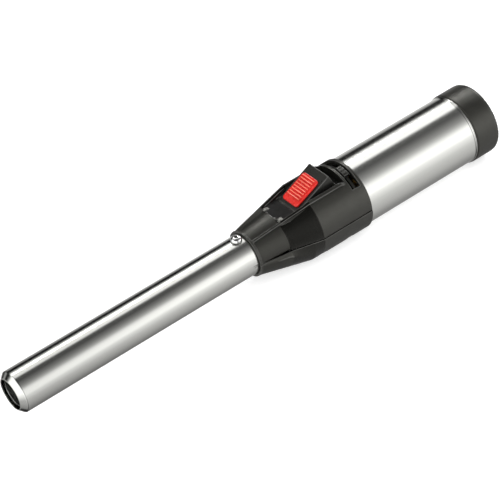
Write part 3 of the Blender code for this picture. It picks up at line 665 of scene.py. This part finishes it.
def on_lever(u, y, height):
    """A point on the lever's slope: u from its front edge, y across, and height above the face."""
    slope = (LEVER_TIP - LEVER_FRONT).normalized()
    x, z = LEVER_FRONT + slope * u + Vector((-slope.y, slope.x)) * height
    return x, y, z


def height_over_lever(point):
    slope = (LEVER_TIP - LEVER_FRONT).normalized()
    return (point.xz - LEVER_FRONT).dot(Vector((-slope.y, slope.x)))


def pillow(start, end, half_width, corner, levels):
    """A flat pad on the lever's slope with round corners; levels lists (height, inset) from the foot up."""
    rows = []
    for height, inset in levels:
        low, high, side = start + inset, end - inset, half_width - inset
        own = max(corner - inset, 0.05)
        ring = []
        for centre_u, centre_y, first in ((high - own, side - own, 0), (low + own, side - own, 90),
                                          (low + own, own - side, 180), (high - own, own - side, 270)):
            for step in range(7):
                angle = math.radians(first + 15 * step)
                u, y = centre_u + own * math.cos(angle), centre_y + own * math.sin(angle)
                ring.append(on_lever(u, y, height))
        rows.append(ring)
    bm = skin(rows, wrap_row=True)
    bmesh.ops.holes_fill(bm, edges=[e for e in bm.edges if e.is_boundary])
    bmesh.ops.recalc_face_normals(bm, faces=bm.faces)
    return bm


def trigger():
    # The lever's rounded edges take the lighter colour of a painted highlight.
    finished(rounded_copy("trigger_lever", 0.3, slot=HIGHLIGHT_SLOT), "trigger_lever", highlight_paint=BLACK_EDGE_HIGHLIGHT)
    end = PAD_FRONT + PAD_LENGTH
    base = [(GAP, 0), (0.65, 0), (0.85, 0.08), (0.96, 0.2), (1.0, 0.4)]
    pad = scratch_object(pillow(PAD_FRONT, end, PAD_WIDTH / 2, 1.5, base))
    first, last = PAD_FRONT + 2.9, end - 1.0
    pitch, half = (last - first) / (RIBS - 0.5), 0.38
    dome = [(0.8, 0), (1.25, 0.02), (1.42, 0.08), (1.54, 0.18), (1.58, 0.3)]
    ribs = [pillow(first + pitch * k, first + pitch * k + 2 * half, PAD_WIDTH / 2 - 0.9, half, dome)
            for k in range(RIBS)]
    combine(pad, "UNION", scratch_object(joined(ribs)))
    # Faces more than 1.5 mm over the lever, the ribs' crests, take the lighter red of a painted highlight.
    for face in pad.data.polygons:
        if height_over_lever((face.center - ORIGIN) / MM) > 1.5:
            face.material_index = HIGHLIGHT_SLOT
    finished(pad, "trigger_pad", sharp=50, highlight_paint=RED_CREST_HIGHLIGHT)


def adjuster():
    """The flame adjuster, with three grip ribs on its tab and a thin fan that closes the window behind it."""
    # The adjuster's rounded edges take the lighter colour of a painted highlight.
    obj = rounded_copy("flame_adjuster", 0.2, 2, slot=HIGHLIGHT_SLOT)
    front, rear = extent("flame_adjuster")[0].x, extent("flame_adjuster")[1].x
    ribs = []
    for angle in (3.5, 10.0, 16.5):
        bm = bmesh.new()
        bmesh.ops.create_cube(bm, size=1)
        size = Matrix.Diagonal((rear - front - 0.5, 0.6, 0.9, 1))
        shape = Matrix.Translation(((front + rear) / 2, 0, 16.2)) @ size
        bmesh.ops.transform(bm, verts=bm.verts, matrix=Matrix.Rotation(math.radians(angle), 4, "X") @ shape)
        bmesh.ops.bevel(bm, geom=bm.edges, offset=0.15, segments=2, affect="EDGES", profile=0.5)
        ribs.append(bm)
    combine(obj, "UNION", scratch_object(joined(ribs)))
    fan_steps, fan_low, fan_high, inner_r, outer_r, margin = 36, -60, 80, 5.0, 14.6, 0.7
    rows = []
    for k in range(fan_steps + 1):
        angle = fan_low + (fan_high - fan_low) * k / fan_steps
        inner, outer = polar(inner_r, -angle), polar(outer_r, -angle)
        rows.append([(front + margin, *inner), (front + margin, *outer), (rear - margin, *outer),
                     (rear - margin, *inner)])
    fan = skin(rows, wrap_row=True)
    bmesh.ops.holes_fill(fan, edges=[e for e in fan.edges if e.is_boundary])
    bmesh.ops.recalc_face_normals(fan, faces=fan.faces)
    combine(obj, "UNION", scratch_object(fan))
    finished(obj, "flame_adjuster", highlight_paint=BLACK_EDGE_HIGHLIGHT)


def coil(node, start, end, radius, wire_r, turns, per_turn=24, sides=10):
    """A compression spring as a fine mesh, with its end turns closed up."""
    start, end = Vector(start), Vector(end)
    axis = (end - start).normalized()
    side = axis.orthogonal().normalized()
    across = axis.cross(side)
    count = turns * per_turn
    rows = []
    for k in range(count + 1):
        angle, share = 2 * math.pi * k / per_turn, k / count
        share = share - math.sin(2 * math.pi * share) / (2 * math.pi) * 0.6
        out = side * math.cos(angle) + across * math.sin(angle)
        centre = start.lerp(end, share) + out * radius
        rows.append([centre + wire_r * (out * math.cos(a) + axis * math.sin(a))
                     for a in (2 * math.pi * j / sides for j in range(sides))])
    bm = skin(rows, wrap_row=True)
    bmesh.ops.holes_fill(bm, edges=[e for e in bm.edges if e.is_boundary])
    bmesh.ops.recalc_face_normals(bm, faces=bm.faces)
    return finished(scratch_object(bm), node)


def springs():
    low, high = extent("trigger_spring")
    wire = 0.3
    middle = (low.x + high.x) / 2
    spring = coil("trigger_spring", (middle, 0, low.z + wire), (middle, 0, high.z - wire), 2.0, wire, 6)
    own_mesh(spring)
    low, high = extent("refill_spring")
    wire = 0.2
    spring = coil("refill_spring", (low.x + wire, 0, 0), (high.x - wire, 0, 0), 1.2, wire, 8)
    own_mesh(spring)


# ---------------------------------------------------------------- studio

def camera():
    data = bpy.data.cameras.new("camera")
    data.lens, data.sensor_width = 158.93, 36
    obj = bpy.data.objects.new("camera", data)
    bpy.context.scene.collection.objects.link(obj)
    right = Vector((0.7855, -0.6073, -0.1188))
    up = Vector((0.4697, 0.4603, 0.7533))
    facing = Matrix((right, up, right.cross(up))).transposed().to_4x4()
    obj.matrix_world = Matrix.Translation((-0.3783, -0.6037, 0.6203)) @ facing
    bpy.context.scene.camera = obj


# How bright the studio is round the torch's axis, in degrees from the back (+Y) horizon: the floor behind
# and in front is below 0, the back soft box ends at 80, a dark ceiling follows, and then the front soft box.
BANDS = [(-180, 0.80), (-155, 0.52), (-125, 0.36), (-100, 0.23), (-80, 0.16), (-65, 0.20), (-35, 0.64),
         (-12, 0.38), (2, 0.22), (6, 0.0), (30, 0.0), (36, 0.75), (55, 0.80), (74, 0.94), (80, 0.07),
         (98, 0.06), (112, 0.14), (124, 0.23), (136, 0.42), (149, 0.90), (158, 1.0), (176, 1.0), (180, 0.85)]
BAND_STRENGTH = 1.65
# The bands' brightness along the torch, as (X direction, share). A dark flat stands between the boxes.
SIDE_SHADE = [(-1, 1.0), (-0.36, 1.0), (-0.27, 0.06), (-0.07, 0.06), (0.0, 0.55), (0.2, 0.62), (0.3, 0.70),
              (0.39, 0.92), (0.45, 1.0), (1, 1.0)]
END_BOX = (-0.66, -0.80)             # past these X directions a soft box stands in front of the nozzle
END_BOX_HEIGHTS, END_BOX_LIGHT = (-0.5, 0.0), (0.3, 0.95)        # it brightens between these Z directions


def grey_ramp(nodes, stops):
    """A colour ramp of greys, from (position, brightness) stops in rising order."""
    node = nodes.new("ShaderNodeValToRGB")
    while len(node.color_ramp.elements) < len(stops):
        node.color_ramp.elements.new(0.5)
    for element, (position, brightness) in zip(node.color_ramp.elements, stops):
        element.position = position
        element.color = (brightness, brightness, brightness, 1)
    return node


def studio_world():
    """Soft boxes and dark flats in bands round the torch's axis. The camera sees a pale backdrop instead."""
    world = bpy.data.worlds.new("studio")
    bpy.context.scene.world = world
    world.use_nodes = True
    nodes, links = world.node_tree.nodes, world.node_tree.links
    split = nodes.new("ShaderNodeSeparateXYZ")
    links.new(nodes.new("ShaderNodeTexCoord").outputs["Generated"], split.inputs["Vector"])
    turn = nodes.new("ShaderNodeMath")
    turn.operation = "ARCTAN2"
    links.new(split.outputs["Z"], turn.inputs[0])
    links.new(split.outputs["Y"], turn.inputs[1])
    share = nodes.new("ShaderNodeMapRange")
    share.inputs["From Min"].default_value = -math.pi
    share.inputs["From Max"].default_value = math.pi
    links.new(turn.outputs["Value"], share.inputs["Value"])
    bands = grey_ramp(nodes, [((degrees + 180) / 360, brightness) for degrees, brightness in BANDS])
    links.new(share.outputs["Result"], bands.inputs["Fac"])
    place = nodes.new("ShaderNodeMapRange")
    place.inputs["From Min"].default_value = -1
    links.new(split.outputs["X"], place.inputs["Value"])
    shade = grey_ramp(nodes, [((x + 1) / 2, brightness) for x, brightness in SIDE_SHADE])
    links.new(place.outputs["Result"], shade.inputs["Fac"])
    dim = nodes.new("ShaderNodeMix")
    dim.data_type = "RGBA"
    dim.blend_type = "MULTIPLY"
    dim.inputs["Factor"].default_value = 1
    links.new(bands.outputs["Color"], dim.inputs["A"])
    links.new(shade.outputs["Color"], dim.inputs["B"])
    end_share = nodes.new("ShaderNodeMapRange")
    for socket, value in zip(("From Min", "From Max"), END_BOX):
        end_share.inputs[socket].default_value = value
    links.new(split.outputs["X"], end_share.inputs["Value"])
    end_box = nodes.new("ShaderNodeMapRange")
    for socket, value in zip(("From Min", "From Max", "To Min", "To Max"), END_BOX_HEIGHTS + END_BOX_LIGHT):
        end_box.inputs[socket].default_value = value
    links.new(split.outputs["Z"], end_box.inputs["Value"])
    all_round = nodes.new("ShaderNodeMix")
    all_round.data_type = "RGBA"
    links.new(end_share.outputs["Result"], all_round.inputs["Factor"])
    links.new(dim.outputs["Result"], all_round.inputs["A"])
    links.new(end_box.outputs["Result"], all_round.inputs["B"])
    studio, backdrop = (nodes.new("ShaderNodeBackground") for _ in range(2))
    mix = nodes.new("ShaderNodeMixShader")
    studio.inputs["Strength"].default_value = BAND_STRENGTH
    links.new(all_round.outputs["Result"], studio.inputs["Color"])
    backdrop.inputs["Color"].default_value = (0.95, 0.95, 0.95, 1)
    rays = nodes.new("ShaderNodeLightPath")
    links.new(rays.outputs["Is Camera Ray"], mix.inputs["Fac"])
    links.new(studio.outputs["Background"], mix.inputs[1])
    links.new(backdrop.outputs["Background"], mix.inputs[2])
    links.new(mix.outputs["Shader"], nodes["World Output"].inputs["Surface"])


def lamp(name, location, size, power):
    data = bpy.data.lights.new(name, "AREA")
    data.size = size
    data.energy = power
    obj = bpy.data.objects.new(name, data)
    bpy.context.scene.collection.objects.link(obj)
    obj.location = location
    obj.rotation_euler = (-Vector(location)).to_track_quat("-Z", "Y").to_euler()
    obj.visible_glossy = False
    return obj


def strip_lamp():
    """A thin strip light behind, in line with the torch: it adds to the light lines along its edges, which
    the edges' painted highlight colour also draws.
    """
    obj = lamp("strip", (0.75, 0.85, 1.02), 1.9, 6)
    obj.data.shape = "RECTANGLE"
    obj.data.size_y = 0.07
    away = Vector(obj.location).normalized()
    along_x = (Vector((1, 0, 0)) - away * away.x).normalized()
    obj.rotation_euler = Matrix((along_x, away.cross(along_x), away)).transposed().to_euler()
    obj.visible_glossy = True


def floor():
    bm = bmesh.new()
    bmesh.ops.create_grid(bm, x_segments=1, y_segments=1, size=3)
    mesh = bpy.data.meshes.new("floor")
    bm.to_mesh(mesh)
    bm.free()
    obj = bpy.data.objects.new("floor", mesh)
    obj.location.z = -0.0002
    bpy.context.scene.collection.objects.link(obj)
    paper = new_material("white_paper", (0.8, 0.8, 0.8), 0.9, Emission_Color=(1, 1, 1, 1),
                         Emission_Strength=0.55)
    mesh.materials.append(paper)
    obj.visible_glossy = False   # the world's bands below the horizon are what the steel shows of it


def carried_over_nodes():
    """Inner pieces keep their CAD shape and get a real material."""
    for node, obj in frame["nodes"].items():
        if not obj.material_slots:
            obj.data.materials.append(None)
        for slot in obj.material_slots:
            slot.material = MATERIALS[SLOTS[node]]


bpy.context.scene.view_settings.view_transform = "Standard"
camera()
studio_world()
lamp("key", (-0.5, -0.9, 1.4), 1.2, 18)
lamp("fill", (0.8, 0.8, 1.5), 1.2, 10)
strip_lamp()
floor()
carried_over_nodes()
upper_shell()
lower_shell()
screws()
tubes()
end_cap()
trigger()
adjuster()
springs()
for node in ("valve_link", "piezo_body"):
    finished(rounded_copy(node, 0.15, 2), node)
